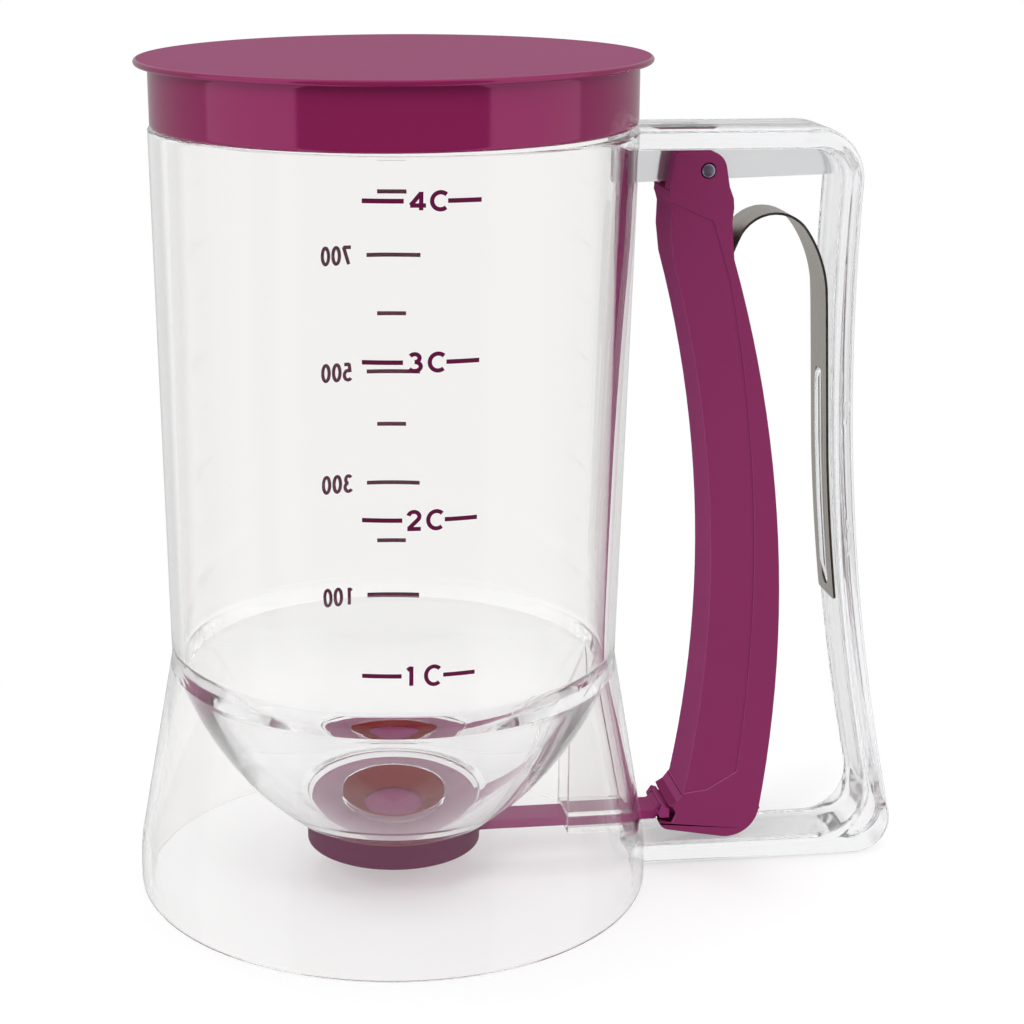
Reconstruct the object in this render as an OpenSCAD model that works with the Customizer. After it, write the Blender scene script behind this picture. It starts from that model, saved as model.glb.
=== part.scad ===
// Batter dispenser: a clear cup with a round bowl and an open base skirt, a lift-off lid, and a
// squeeze trigger that draws a valve disc off the outlet under the bowl.
// Millimetres, +Z up. The cup's axis is the Z axis, the handle points along +X, the table is z = 0.

/* [Cup] */
// Outer radius of the cup at the shoulder under the lid
cup_top_r = 51.6; // [49:0.2:55]
// Outer radius of the cup at its waist
cup_waist_r = 49.4; // [47.6:0.2:51]
// Height of the waist, where the cup narrows before the base skirt
waist_z = 54; // [50:1:60]
// Height of the shoulder that the lid meets
shoulder_z = 169.6; // [150:0.2:190]
// Wall of the cup at its waist
cup_wall_t = 2.6; // [1.8:0.1:3.2]

/* [Bowl and outlet] */
// Height of the underside of the bowl's floor
floor_z = 14.4; // [13.6:0.2:18]
// Thickness of the bowl's floor
floor_t = 3.4; // [2:0.1:4]
// Radius of the flat part of the bowl's floor
floor_r = 17.4; // [16:0.1:20]
// Radius of the flange around the outlet
flange_r = 21; // [20:0.2:24]
// Wall of the bowl at its rim
bowl_wall_t = 2; // [1.4:0.1:2.6]
// Wall of the bowl where it runs into the floor
bowl_low_t = 4.9; // [3:0.1:5.2]
// Angle from upright at which the bowl leaves the cup's wall
bowl_lean = 15.5; // [10:0.5:17]
// Radius of the round hole that holds the outlet seal
outlet_r = 12; // [9:0.2:14]

/* [Base skirt] */
// Radius of the skirt where it stands on the table
base_r = 57.5; // [54:0.1:58.4]
// Wall of the skirt
skirt_wall_t = 2; // [1.4:0.1:2.6]

/* [Lid] */
// Height from the shoulder to the top of the lid
lid_rise = 14.7; // [10:0.1:20]
// Thickness of the lid's top and of its wall
lid_t = 1.7; // [1.2:0.1:2.4]
// How far the lid's lip stands out past its wall
lid_lip = 2.9; // [1:0.1:5]

/* [Handle] */
// Distance from the cup's shoulder to the outside of the handle's post, at its narrowest
handle_reach = 49; // [46:0.5:60]
// Width of the handle
handle_w = 17; // [14:0.5:19]
// Thickness of the handle's post
post_t = 5; // [4:0.1:6]
// Thickness of the handle's top and bottom bars
bar_t = 5; // [4:0.1:5.4]
// Thickness of the web that carries the pivot pin
web_t = 4.4; // [3:0.1:5]

/* [Trigger] */
// Width of the trigger
trigger_w = 15; // [14:0.5:18]
// Thickness of the trigger's walls
trigger_wall_t = 1.5; // [1.3:0.1:1.7]
// Distance from the cup's shoulder to the pivot pin
pivot_reach = 14.8; // [13.5:0.1:17]
// Radius of the pivot pin
pin_r = 1.6; // [1.2:0.1:2]

/* [Slide valve] */
// Radius of the valve disc
disc_r = 19.6; // [18:0.1:20.4]
// Height of the valve disc
disc_h = 6; // [5:0.1:6.4]
// Width of the tongue that joins the disc to the trigger
tongue_w = 8; // [6:0.2:9]
// Thickness of the tongue
tongue_t = 2.2; // [1.8:0.1:2.6]

/* [Leaf spring] */
// Thickness of the spring strip
leaf_t = 0.8; // [0.5:0.1:1]
// Width of the spring strip
leaf_w = 11.4; // [8:0.2:11.6]

/* [Hidden] */

clear = [0.86, 0.90, 0.93, 0.35];
plum = [0.52, 0.20, 0.36];
steel = [0.68, 0.67, 0.65];
seal_red = [0.62, 0.22, 0.20];

slip = 0.2;        // gap between parts that slide on each other
round_fn = 160;    // steps of the large turned surfaces
arc_fn = 720;      // steps of the long shallow arcs
eps = 0.01;        // a cut starts this far outside what it cuts

// Lid and cup mouth
lid_top_z = shoulder_z + lid_rise;
lid_wall_r = cup_top_r - 0.35;
lip_t = 1.3;           // thickness of the lip round the lid's top
neck_r = lid_wall_r - lid_t - slip;
neck_t = 1.5;
mouth_r = neck_r - neck_t;
rim_z = lid_top_z - lid_t - 0.1;

// Waist, bowl and skirt
join_top_z = waist_z + 2;
join_low_z = waist_z - 2;
bowl_rim_r = cup_waist_r - cup_wall_t;
floor_top_z = floor_z + floor_t;
// The bowl's inside is one arc, from its rim down to the edge of its flat floor.
bowl_run = [bowl_rim_r - floor_r, join_top_z - floor_top_z];
bowl_r = bowl_run * bowl_run / (2 * bowl_run * [cos(bowl_lean), -sin(bowl_lean)]);
bowl_centre = [bowl_rim_r - bowl_r * cos(bowl_lean), join_top_z + bowl_r * sin(bowl_lean)];
// Its outside is an arc through three points, so that the wall grows thicker towards the floor.
bowl_low_a = asin((floor_top_z - bowl_centre[1]) / bowl_r);
bowl_out = [for (share = [0, 0.5, 1])
    on_circle(bowl_centre, bowl_r + bowl_wall_t + share * (bowl_low_t - bowl_wall_t),
              -bowl_lean + share * (bowl_low_a + bowl_lean))];
bowl_out_centre = centre_of_arc(bowl_out[0], bowl_out[1], bowl_out[2]);
bowl_out_r = norm(bowl_out[0] - bowl_out_centre);
flange_h = 1.6;        // height of the flange's edge under the bowl
foot_h = 5;            // upright part of the skirt's wall
flare_r = 40;          // radius of the bend above it
skirt_top_r = cup_waist_r + 0.3;
flare_a = atan2(base_r - skirt_top_r, join_low_z - foot_h) + 0.6;
foot_chamfer = 0.4;

// Valve and tongue
disc_top_z = floor_z - slip;
disc_low_z = disc_top_z - disc_h;
tongue_z = disc_low_z + 1.7;
tongue_top_z = tongue_z + tongue_t;
tongue_mid_z = tongue_z + tongue_t / 2;
seal_low_z = floor_z - slip / 2;
seal_mouth_r = outlet_r - 0.5;
seal_throat_r = outlet_r - 5;

// Handle: its post is bowed around a far centre
handle_top_z = shoulder_z;
top_bar_low_z = handle_top_z - bar_t;
web_h = 7.4;           // how far the web reaches below the top bar
web_low_z = top_bar_low_z - web_h;
handle_low_z = 0.2;
bottom_bar_top_z = handle_low_z + bar_t + 0.2;
post_x = cup_top_r + handle_reach;
bow_r = 535;
bow_drop = 32.6;       // from the shoulder down to the post's narrowest point
bow_z = shoulder_z - bow_drop;
post_in_r = bow_r + post_t;
top_corner_r = [6.4, 12];     // inside and outside corners where the post meets the top bar
low_corner_r = [10.4, 8];     // and where it meets the bottom bar
post_reach = 12.5;            // how far the post's node reaches into the bars, past its corners

// Trigger, as points and arcs in the XZ plane
pivot = [cup_top_r + pivot_reach, top_bar_low_z - 4.3];
head_r = 4.1;
foot_z = tongue_z - 3.9;
foot_r = 7.6;                 // rounding of the foot's back corner
nape_drop = 19.2;             // from the pin down to where the head runs into the blade
nape_z = pivot[1] - nape_drop;
heel_z = tongue_z + 6;        // where the blade runs into the foot
belly_drop = 13;              // from the blade's middle down to where it stands out most
belly_z = (nape_z + heel_z) / 2 - belly_drop;
belly_reach = 20.2;           // from the pin back to the blade's back there
heel_reach = 18.3;            // and at the foot
channel_w = trigger_w - 2 * trigger_wall_t;
trunnion_r = 1.2;
neck_low_z = tongue_z + 1.2;
neck_top_z = tongue_top_z + 1.5;
trunnion = [pivot[0], (neck_low_z + neck_top_z) / 2];
trunnion_l = trigger_w - 1.6;
channel_front = 5.7;          // from the pin forward to the front of the channel's top
channel_drop = 9.5;           // from the pin down to the channel's top
panel_depth = 0.3;            // depth of the panel sunk in the trigger's sides
trigger_rise = 1.2;           // how far a full pull lifts the trigger's foot

// Slider guide
guide_reach = 9.9;            // how far the guide reaches in from the waist
guide_x = cup_waist_r - guide_reach;
guide_t = 1.6;
guide_gap = tongue_w / 2 + slip + 0.2;
slot_h = tongue_t + 2 * slip + 0.2;

// Spring keeper
barbs = [[bow_z - 26, 1.9], [bow_z - 56.4, 1.2]];    // height, and distance off the post
leaf_slot_w = 4;
leaf_drop = 74.6;      // from the post's narrowest point down to the strip's lower end
leaf_low_z = bow_z - leaf_drop;
slot_margin = 2.2;     // from that end up to the slot
slot_drop = 20.5;      // from the post's narrowest point down to the slot's upper end
leaf_slot_z = [leaf_low_z + slot_margin, bow_z - slot_drop];
rib_w = 2.8;
rib_out = [1.6, 2.8];  // how far the rib stands off the post at its lower and upper end

function centre_of_arc(a, b, c) =
    let (ab = b - a, ac = c - a, d = 2 * (ab[0] * ac[1] - ab[1] * ac[0]))
    a + [ac[1] * (ab * ab) - ab[1] * (ac * ac), ab[0] * (ac * ac) - ac[0] * (ab * ab)] / d;

function on_circle(centre, r, angle) = centre + r * [cos(angle), sin(angle)];

// X of the post's inner face at height z
function post_face_x(z) = post_x + bow_r - sqrt(pow(post_in_r, 2) - pow(z - bow_z, 2));

// Turns a profile drawn as [radius, height] about the cup's axis.
module turn() rotate_extrude($fn = round_fn) children();

// Stands a profile drawn as [x, z] upright, w wide and centred on the handle's plane.
module upright(w) rotate([90, 0, 0]) linear_extrude(height = w, center = true) children();

module box(low, high) translate(low) cube(high - low);

module cross_pin(at, r, length, fn = 48)
    translate([at[0], 0, at[1]]) rotate([90, 0, 0]) cylinder(r = r, h = length, center = true, $fn = fn);

module disc2d(at, r, fn = 48) translate(at) circle(r = r, $fn = fn);

// Half section of everything inside one of the bowl's arcs, between two heights
module bowl_half(centre, r, low, high) {
    intersection() {
        disc2d(centre, r, arc_fn);
        translate([0, low]) square([cup_waist_r, high - low]);
    }
}

// Outline of the skirt, moved inwards by inset, down to a flat z = low
function skirt_side(inset, low) = concat(
    [[base_r - inset, low], [base_r - inset, foot_h]],
    [for (a = [2 : 2 : flare_a]) [base_r - flare_r * (1 - cos(a)) - inset, foot_h + flare_r * sin(a)]],
    [[skirt_top_r - inset, join_low_z]]);

// Outline of the cup's outside, from its waist to its shoulder
cup_side = [[cup_waist_r, waist_z], [cup_waist_r + 0.04, join_top_z], [cup_top_r, shoulder_z - 0.4]];

function reversed(list) = [for (i = [len(list) - 1 : -1 : 0]) list[i]];

// Solid cup and skirt without their hollows, which the handle is trimmed against
module vessel_core() {
    turn() polygon(concat([[0, -1]], skirt_side(0, -1), cup_side,
        [[cup_top_r, lid_top_z], [0, lid_top_z]]));
}

module cup_wall() {
    color(clear) turn() polygon([
        [bowl_rim_r, join_top_z], cup_side[1], cup_side[2],
        [cup_top_r - 0.4, shoulder_z], [neck_r, shoulder_z], [neck_r, rim_z - 0.4],
        [neck_r - 0.4, rim_z], [mouth_r + 0.4, rim_z], [mouth_r, rim_z - 0.4]]);
}

module bowl() {
    color(clear) difference() {
        union() {
            turn() bowl_half(bowl_out_centre, bowl_out_r, floor_z + flange_h, join_low_z + 1);
            turn() polygon([[bowl_rim_r, join_top_z], [bowl_rim_r, join_low_z],
                [skirt_top_r, join_low_z], cup_side[0], cup_side[1]]);
            translate([0, 0, floor_z]) cylinder(r = flange_r, h = floor_t, $fn = round_fn);
        }
        turn() bowl_half(bowl_centre, bowl_r, floor_top_z, join_top_z + 1);
        translate([0, 0, floor_z - 1]) cylinder(r = outlet_r, h = floor_t + 2, $fn = round_fn);
    }
}

module outlet_seal() {
    color(seal_red) turn() polygon([
        [seal_throat_r, seal_low_z], [outlet_r, seal_low_z], [outlet_r, floor_top_z],
        [seal_mouth_r, floor_top_z], [seal_throat_r, seal_low_z + 0.6]]);
}

module tongue_slot() {
    half_w = tongue_w / 2 + slip + 0.1;
    box([guide_x, -half_w, tongue_mid_z - slot_h / 2], [base_r + 2, half_w, tongue_mid_z + slot_h / 2]);
}

module skirt() {
    foot = [[base_r - skirt_wall_t + foot_chamfer, 0], [base_r - foot_chamfer, 0]];
    color(clear) difference() {
        turn() difference() {
            polygon(concat(foot, skirt_side(0, foot_chamfer),
                reversed(skirt_side(skirt_wall_t, foot_chamfer))));
            disc2d(bowl_out_centre, bowl_out_r, arc_fn);
        }
        tongue_slot();
    }
}

module slider_guide() {
    sill_t = 1;
    roof_t = 1.2;
    rib_low = tongue_z - slip - sill_t;
    roof_z = tongue_top_z + slip;
    color(clear) difference() {
        intersection() {
            union() {
                for (side = [-1, 1])
                    translate([guide_x, side * (guide_gap + guide_t / 2) - guide_t / 2, rib_low])
                        cube([base_r, guide_t, waist_z]);
                box([guide_x, -guide_gap, rib_low], [base_r, guide_gap, rib_low + sill_t]);
                box([guide_x, -guide_gap, roof_z], [base_r, guide_gap, roof_z + roof_t]);
            }
            turn() polygon(concat([[0, 0]], skirt_side(skirt_wall_t, 0), [[0, join_low_z]]));
        }
        turn() bowl_half(bowl_out_centre, bowl_out_r, 0, join_low_z);
    }
}

// The space left of a bowed line and between two heights, with its corners rounded
module handle_space(line_r, low, high, corner_r) {
    offset(r = corner_r, $fn = 64) offset(delta = -corner_r) difference() {
        translate([-post_x, low]) square([3 * post_x, high - low]);
        translate([post_x + bow_r, bow_z]) circle(r = line_r, $fn = arc_fn);
    }
}

module half_plane(side) {
    middle_z = handle_top_z / 2;
    reach = 3 * post_x;
    translate([-post_x, side > 0 ? middle_z : middle_z - reach]) square([reach, reach]);
}

// Side view of the whole handle: the ring left between an outer and an inner outline
module handle_ring() {
    difference() {
        union() {
            intersection() {
                handle_space(bow_r, handle_low_z, handle_top_z, top_corner_r[1]);
                half_plane(1);
            }
            intersection() {
                handle_space(bow_r, handle_low_z, handle_top_z, low_corner_r[1]);
                half_plane(-1);
            }
        }
        intersection() {
            handle_space(post_in_r, bottom_bar_top_z, top_bar_low_z, top_corner_r[0]);
            half_plane(1);
        }
        intersection() {
            handle_space(post_in_r, bottom_bar_top_z, top_bar_low_z, low_corner_r[0]);
            half_plane(-1);
        }
    }
}

post_top_x = post_x - post_reach;
post_low_x = post_face_x(bottom_bar_top_z) - post_reach;

module handle_top_bar() {
    color(clear) difference() {
        union() {
            box([0, -handle_w / 2, top_bar_low_z], [post_top_x, handle_w / 2, handle_top_z]);
            box([0, -web_t / 2, web_low_z], [post_top_x, web_t / 2, top_bar_low_z + eps]);
        }
        vessel_core();
        cross_pin(pivot, pin_r, handle_w);
    }
}

module handle_post() {
    web_end_x = post_face_x(web_low_z);
    color(clear) {
        upright(handle_w) intersection() {
            handle_ring();
            union() {
                translate([post_top_x, bottom_bar_top_z + 20]) square([60, handle_top_z]);
                translate([post_low_x, -10]) square([60, bottom_bar_top_z + 40]);
            }
        }
        upright(web_t) difference() {
            translate([post_top_x, web_low_z]) square([web_end_x - post_top_x, top_bar_low_z - web_low_z]);
            handle_ring();
        }
    }
}

module handle_bottom_bar() {
    color(clear) difference() {
        box([0, -handle_w / 2, handle_low_z], [post_low_x, handle_w / 2, bottom_bar_top_z]);
        vessel_core();
    }
}

// Rib on the post that the spring's slot fits over, with two barbs that hold the strip down
module spring_keeper() {
    rib_low = leaf_slot_z[0] + 1;
    rib_top = leaf_slot_z[1] - 1;
    color(clear) union() {
        upright(rib_w) polygon(concat(
            [[post_face_x(rib_top) - rib_out[1], rib_top - 1],
             [post_face_x(rib_low) - rib_out[0], rib_low + 1]],
            [for (i = [0 : 24]) let (z = rib_low + i * (rib_top - rib_low) / 24) [post_face_x(z), z]]));
        for (barb = barbs)
            upright(leaf_slot_w + 1.6) translate([post_face_x(barb[0]) - barb[1], barb[0]])
                polygon([[0, -2.6], [0, 2.6], [-1.1, 0.8], [-1.1, -0.8]]);
    }
}

module lid() {
    lip_r = lid_wall_r + lid_lip;
    color(plum) turn() polygon(concat(
        [[0, lid_top_z - lid_t], [lid_wall_r - lid_t, lid_top_z - lid_t],
         [lid_wall_r - lid_t, shoulder_z + 0.3], [lid_wall_r, shoulder_z + 0.3],
         [lid_wall_r, lid_top_z - lip_t]],
        [for (a = [-90 : 15 : 90]) on_circle([lip_r - lip_t / 2, lid_top_z - lip_t / 2], lip_t / 2, a)],
        [[0, lid_top_z]]));
}

// The blade's two long edges are arcs through three points: at the nape, the belly and the heel.
front_edge = [pivot + [-7, nape_z - pivot[1]], pivot + [4.1, belly_z - pivot[1]],
              pivot + [-0.4, heel_z - pivot[1]]];
back_edge = [pivot + [6.5, nape_z - pivot[1]], pivot + [belly_reach, belly_z - pivot[1]],
             pivot + [heel_reach, heel_z - pivot[1]]];
// The sunk panel's back edge is a third arc, panel_margin in front of the blade's back.
panel_margin = 6;
panel_edge = [[pivot[0] + 6, nape_z - 5], [pivot[0] + belly_reach - panel_margin, belly_z],
              [pivot[0] + heel_reach - panel_margin - 0.2, heel_z + 6.2]];
front_centre = centre_of_arc(front_edge[0], front_edge[1], front_edge[2]);
back_centre = centre_of_arc(back_edge[0], back_edge[1], back_edge[2]);
panel_centre = centre_of_arc(panel_edge[0], panel_edge[1], panel_edge[2]);
front_r = norm(front_edge[0] - front_centre);
back_r = norm(back_edge[0] - back_centre);
panel_r = norm(panel_edge[0] - panel_centre);
// The foot's back corner is tangent to the blade's back edge.
foot_a = asin((foot_z + foot_r - back_centre[1]) / (back_r - foot_r));
foot_centre = on_circle(back_centre, back_r - foot_r, foot_a);
foot_join_z = on_circle(back_centre, back_r, foot_a)[1];

module foot_side(inset) {
    hull() {
        disc2d(foot_centre, foot_r - inset);
        disc2d([pivot[0] - 3, foot_z + 5.2], 2.8 - inset);
    }
}

module blade_side() {
    intersection() {
        difference() {
            disc2d(back_centre, back_r, arc_fn);
            disc2d(front_centre, front_r, arc_fn);
        }
        translate([0, foot_join_z]) square([2 * post_x, nape_z - foot_join_z]);
    }
}

// The panel, open at the front: it follows the blade's back edge and both ends of the blade.
module panel_side() {
    intersection() {
        disc2d(panel_centre, panel_r, arc_fn);
        polygon([[pivot[0] - 12, nape_z + 14.6], [pivot[0] + 1.6, nape_z + 8.5],
                 [pivot[0] + 3.9, nape_z + 1.7], panel_edge[0], [post_x, panel_edge[0][1]],
                 [post_x, panel_edge[2][1]], panel_edge[2], [pivot[0] + 5.3, heel_z + 2.1],
                 [pivot[0] - 3.8, heel_z + 1], [pivot[0] - 12, heel_z + 1]]);
    }
}

// The head: a knuckle about the pin, and the part between it and the blade
module head_side() {
    hull() {
        disc2d(pivot + [-6.5, 3.2], 0.8);
        disc2d(pivot + [-7.6, -4], 0.8);
        disc2d(pivot, head_r, 64);
        disc2d(pivot + [3.9, -4], 1);
    }
}

// The blade's front runs forward over the tongue's end.
module chin_side() {
    polygon([[pivot[0] - 0.4, heel_z + 1], [pivot[0] - 2.4, heel_z - 1.6], [pivot[0] - 4.4, neck_top_z - 1],
             [pivot[0] + 4, neck_top_z - 3], [pivot[0] + 4, heel_z + 1]]);
}

module nape_side() {
    polygon([front_edge[0] + [1, -2], front_edge[0], pivot + [-7.8, -13], pivot + [-7.7, -8],
             pivot + [-8.4, -5.6], pivot + [-8.2, -3.6], pivot + [4.5, -2.7], pivot + [5.8, -6],
             pivot + [6, -8], pivot + [5.7, -11], back_edge[0], back_edge[0] + [-1, -2]]);
}

// The hollow of the channel, open towards the post
module channel_side() {
    difference() {
        translate([pivot[0] - channel_front, heel_z - 3])
            square([post_x - pivot[0], pivot[1] - channel_drop - heel_z + 3]);
        disc2d(front_centre, front_r + trigger_wall_t, arc_fn);
    }
}

module trigger() {
    web_slot_w = web_t + 2 * slip + 0.2;
    mouth_x = trunnion[0] - 2.6;
    color(plum) difference() {
        union() {
            upright(trigger_w) blade_side();
            upright(trigger_w) foot_side(0);
            upright(trigger_w) nape_side();
            upright(trigger_w) chin_side();
            upright(trigger_w) head_side();
        }
        upright(channel_w) channel_side();
        upright(channel_w) foot_side(trigger_wall_t);
        for (side = [-1, 1])
            translate([0, side * trigger_w / 2, 0]) upright(2 * panel_depth) panel_side();
        // Slot over the handle's web
        box([0, -web_slot_w / 2, web_low_z - trigger_rise], [post_x, web_slot_w / 2, handle_top_z]);
        // Opening for the tongue and its cross head
        upright(trigger_w + 2) polygon([
            [cup_top_r, neck_low_z - 0.9], [mouth_x, neck_low_z - 0.9], [mouth_x + 0.9, trunnion[1]],
            [mouth_x, neck_top_z + 0.4], [mouth_x - 2.4, neck_top_z + 0.9], [cup_top_r, neck_top_z + 2]]);
        box([cup_top_r, -tongue_w / 2 - 2 * slip, tongue_z - 1],
            [trunnion[0] + 2.2, tongue_w / 2 + 2 * slip, neck_top_z + 0.6]);
        // Blind pockets for the trunnion's ends
        box([trunnion[0] - trunnion_r - slip, -trunnion_l / 2 - slip,
             trunnion[1] - trunnion_r - slip - trigger_rise],
            [trunnion[0] + trunnion_r + slip, trunnion_l / 2 + slip,
             trunnion[1] + trunnion_r + slip]);
        cross_pin(pivot, pin_r + 0.05, trigger_w + 2);
    }
}

module pivot_pin() {
    color(steel) cross_pin(pivot, pin_r, trigger_w + 0.2);
}

module slide_valve() {
    disc_pocket_h = disc_h - 2.4;
    cross_head_x = trunnion[0] - 4.3;
    color(plum) difference() {
        union() {
            translate([0, 0, disc_low_z]) cylinder(r = disc_r, h = disc_h, $fn = round_fn);
            upright(tongue_w) polygon([
                [0, tongue_z], [cross_head_x - 1.6, tongue_z], [cross_head_x - 0.6, neck_low_z],
                [trunnion[0] + 1.4, neck_low_z], [trunnion[0] + 1.4, neck_top_z],
                [cross_head_x - 0.6, neck_top_z], [cross_head_x - 2, tongue_top_z], [0, tongue_top_z]]);
            upright(trunnion_l) polygon([
                [cross_head_x - 1, neck_low_z], [cross_head_x + 1.2, neck_low_z],
                [cross_head_x + 1.2, neck_top_z - 0.2], [cross_head_x - 0.2, neck_top_z + 0.3],
                [cross_head_x - 1.4, tongue_top_z]]);
            cross_pin(trunnion, trunnion_r, trunnion_l);
        }
        difference() {
            translate([0, 0, disc_low_z - 1])
                cylinder(r = disc_r - 2, h = disc_pocket_h + 1, $fn = round_fn);
            box([-2, -disc_r, disc_low_z], [disc_r, disc_r, disc_top_z]);
            box([-disc_r, -1, disc_low_z], [disc_r, 1, disc_top_z]);
        }
    }
}

// Centre line of the spring strip in the XZ plane: up the post, over the loop, down into the trigger
hug_l = 36;            // length of strip that lies along the post
loop_r = 8.7;
loop_reach = 15.7;     // from the pin back to the loop's centre
loop_drop = 18.3;      // and down to it
loop_centre = pivot + [loop_reach, -loop_drop];
shoulder_r = 28.3;
shoulder_bend = 36;
shoulder_centre = loop_centre - (shoulder_r - loop_r) * [cos(shoulder_bend), sin(shoulder_bend)];
tail_a = 158;
tail_l = 20;
leaf_line = concat(
    [for (z = [leaf_low_z : hug_l / 4 : leaf_low_z + hug_l]) [post_face_x(z) - leaf_t / 2 - 0.1, z]],
    [for (a = [2 : 4 : shoulder_bend]) on_circle(shoulder_centre, shoulder_r, a)],
    [for (a = [shoulder_bend + 2 : 8 : tail_a]) on_circle(loop_centre, loop_r, a)],
    [on_circle(loop_centre, loop_r, tail_a) + tail_l * [-sin(tail_a), cos(tail_a)]]);

function heading(line, i) =
    let (ahead = line[min(i + 1, len(line) - 1)] - line[max(i - 1, 0)]) ahead / norm(ahead);

function side_line(line, shift) =
    [for (i = [0 : len(line) - 1]) line[i] + shift * [-heading(line, i)[1], heading(line, i)[0]]];

module leaf_spring() {
    slot_ends = [leaf_slot_z[0] + leaf_slot_w / 2, leaf_slot_z[1] - leaf_slot_w / 2];
    cut_x = [pivot[0], post_x + leaf_w];
    color(steel) difference() {
        upright(leaf_w) polygon(concat(side_line(leaf_line, leaf_t / 2),
            reversed(side_line(leaf_line, -leaf_t / 2))));
        box([cut_x[0], -leaf_slot_w / 2, slot_ends[0]], [cut_x[1], leaf_slot_w / 2, slot_ends[1]]);
        for (z = slot_ends)
            translate([cut_x[0], 0, z]) rotate([0, 90, 0])
                cylinder(r = leaf_slot_w / 2, h = cut_x[1] - cut_x[0], $fn = 32);
    }
}

cup_wall();
bowl();
skirt();
slider_guide();
handle_top_bar();
handle_post();
handle_bottom_bar();
spring_keeper();
outlet_seal();
lid();
trigger();
pivot_pin();
leaf_spring();
slide_valve();
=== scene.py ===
"""Batter dispenser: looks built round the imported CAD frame.
"""
import bpy, bmesh, math
from math import sin, cos, tan, pi, radians, degrees, sqrt, atan2, hypot
from mathutils import Vector, Matrix


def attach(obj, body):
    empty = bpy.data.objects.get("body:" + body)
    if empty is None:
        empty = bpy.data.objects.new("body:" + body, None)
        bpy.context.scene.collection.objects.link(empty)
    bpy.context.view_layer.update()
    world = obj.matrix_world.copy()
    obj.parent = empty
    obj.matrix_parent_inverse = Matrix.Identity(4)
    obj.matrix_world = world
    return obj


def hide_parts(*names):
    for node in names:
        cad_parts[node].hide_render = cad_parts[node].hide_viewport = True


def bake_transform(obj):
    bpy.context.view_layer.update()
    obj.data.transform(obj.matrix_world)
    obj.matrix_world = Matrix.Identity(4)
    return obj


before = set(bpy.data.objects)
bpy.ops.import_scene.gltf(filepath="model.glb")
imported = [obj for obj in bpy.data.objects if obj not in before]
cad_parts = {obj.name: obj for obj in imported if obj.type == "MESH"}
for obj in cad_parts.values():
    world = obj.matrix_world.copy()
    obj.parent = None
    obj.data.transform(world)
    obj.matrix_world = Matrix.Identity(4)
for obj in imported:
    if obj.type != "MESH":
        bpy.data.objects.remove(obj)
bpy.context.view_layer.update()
scene = bpy.context.scene
MM = 0.001

# ---------------------------------------------------------------- camera
FRAME_PX, FOCAL_PX, SHIFT_PX, SENSOR = 1024, 2282.17, 62.0, 36.0
PITCH, YAW, ROLL = radians(16.284), radians(1.464), radians(0.466)
EYE, TURN = (0, -0.48357, 0.22626), radians(-7.0)      # in front of the object, then round it by the turn
forward = Vector((sin(YAW) * cos(PITCH), cos(YAW) * cos(PITCH), -sin(PITCH)))
right0 = Vector((cos(YAW), -sin(YAW), 0))
up0 = right0.cross(forward)
right = right0 * cos(ROLL) + up0 * sin(ROLL)
up = up0 * cos(ROLL) - right0 * sin(ROLL)
cam = bpy.data.objects.new("camera", bpy.data.cameras.new("camera"))
scene.collection.objects.link(cam)
rot = Matrix((right, up, -forward)).transposed().to_4x4()
cam.matrix_world = Matrix.Rotation(TURN, 4, "Z") @ Matrix.Translation(EYE) @ rot
cam.data.sensor_width = SENSOR
cam.data.lens = FOCAL_PX * SENSOR / FRAME_PX
cam.data.shift_x = SHIFT_PX / FRAME_PX
cam.data.clip_start, cam.data.clip_end = 0.01, 50
scene.camera = cam


# ---------------------------------------------------------------- mesh helpers
def new_object(name, data):
    ob = bpy.data.objects.new(name, data)
    scene.collection.objects.link(ob)
    return ob


def mesh_from(name, verts, faces):
    me = bpy.data.meshes.new(name)
    me.from_pydata([(x * MM, y * MM, z * MM) for x, y, z in verts], [], faces)
    me.update()
    return new_object(name, me)


def outward(ob):
    """Turns every face outwards."""
    bm = bmesh.new()
    bm.from_mesh(ob.data)
    bmesh.ops.recalc_face_normals(bm, faces=bm.faces)
    bm.to_mesh(ob.data)
    bm.free()
    return ob


def smooth(ob, angle):
    """Smooth shading, but for edges that bend more than angle."""
    ob.data.shade_smooth()
    ob.data.set_sharp_from_angle(angle=radians(angle))
    return ob


def apply_modifiers(ob):
    deps = bpy.context.evaluated_depsgraph_get()
    deps.update()
    me = bpy.data.meshes.new_from_object(ob.evaluated_get(deps))
    ob.modifiers.clear()
    ob.data = me
    return ob


def boolean(ob, other, how):
    m = ob.modifiers.new("b", "BOOLEAN")
    m.operation, m.object, m.solver = how, other, "EXACT"
    apply_modifiers(ob)
    bpy.data.objects.remove(other)
    return ob


def rounded(points, radius, step=12):
    """A closed outline with each corner replaced by an arc, in steps of that many degrees."""
    out, n = [], len(points)
    for i, p in enumerate(points):
        a, b, c = Vector(points[i - 1]), Vector(p), Vector(points[(i + 1) % n])
        u, v = (a - b).normalized(), (c - b).normalized()
        half = u.angle(v) / 2
        back = min(radius / tan(half), (a - b).length * 0.49, (c - b).length * 0.49)
        r = back * tan(half)
        centre = b + (u + v).normalized() * (r / sin(half))
        s, e = b + u * back - centre, b + v * back - centre
        a0, a1 = atan2(s.y, s.x), atan2(e.y, e.x)
        d = (a1 - a0 + pi) % (2 * pi) - pi
        k = max(2, int(abs(degrees(d)) / step))
        out += [(centre.x + r * cos(a0 + d * j / k), centre.y + r * sin(a0 + d * j / k)) for j in range(k + 1)]
    return out


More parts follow.
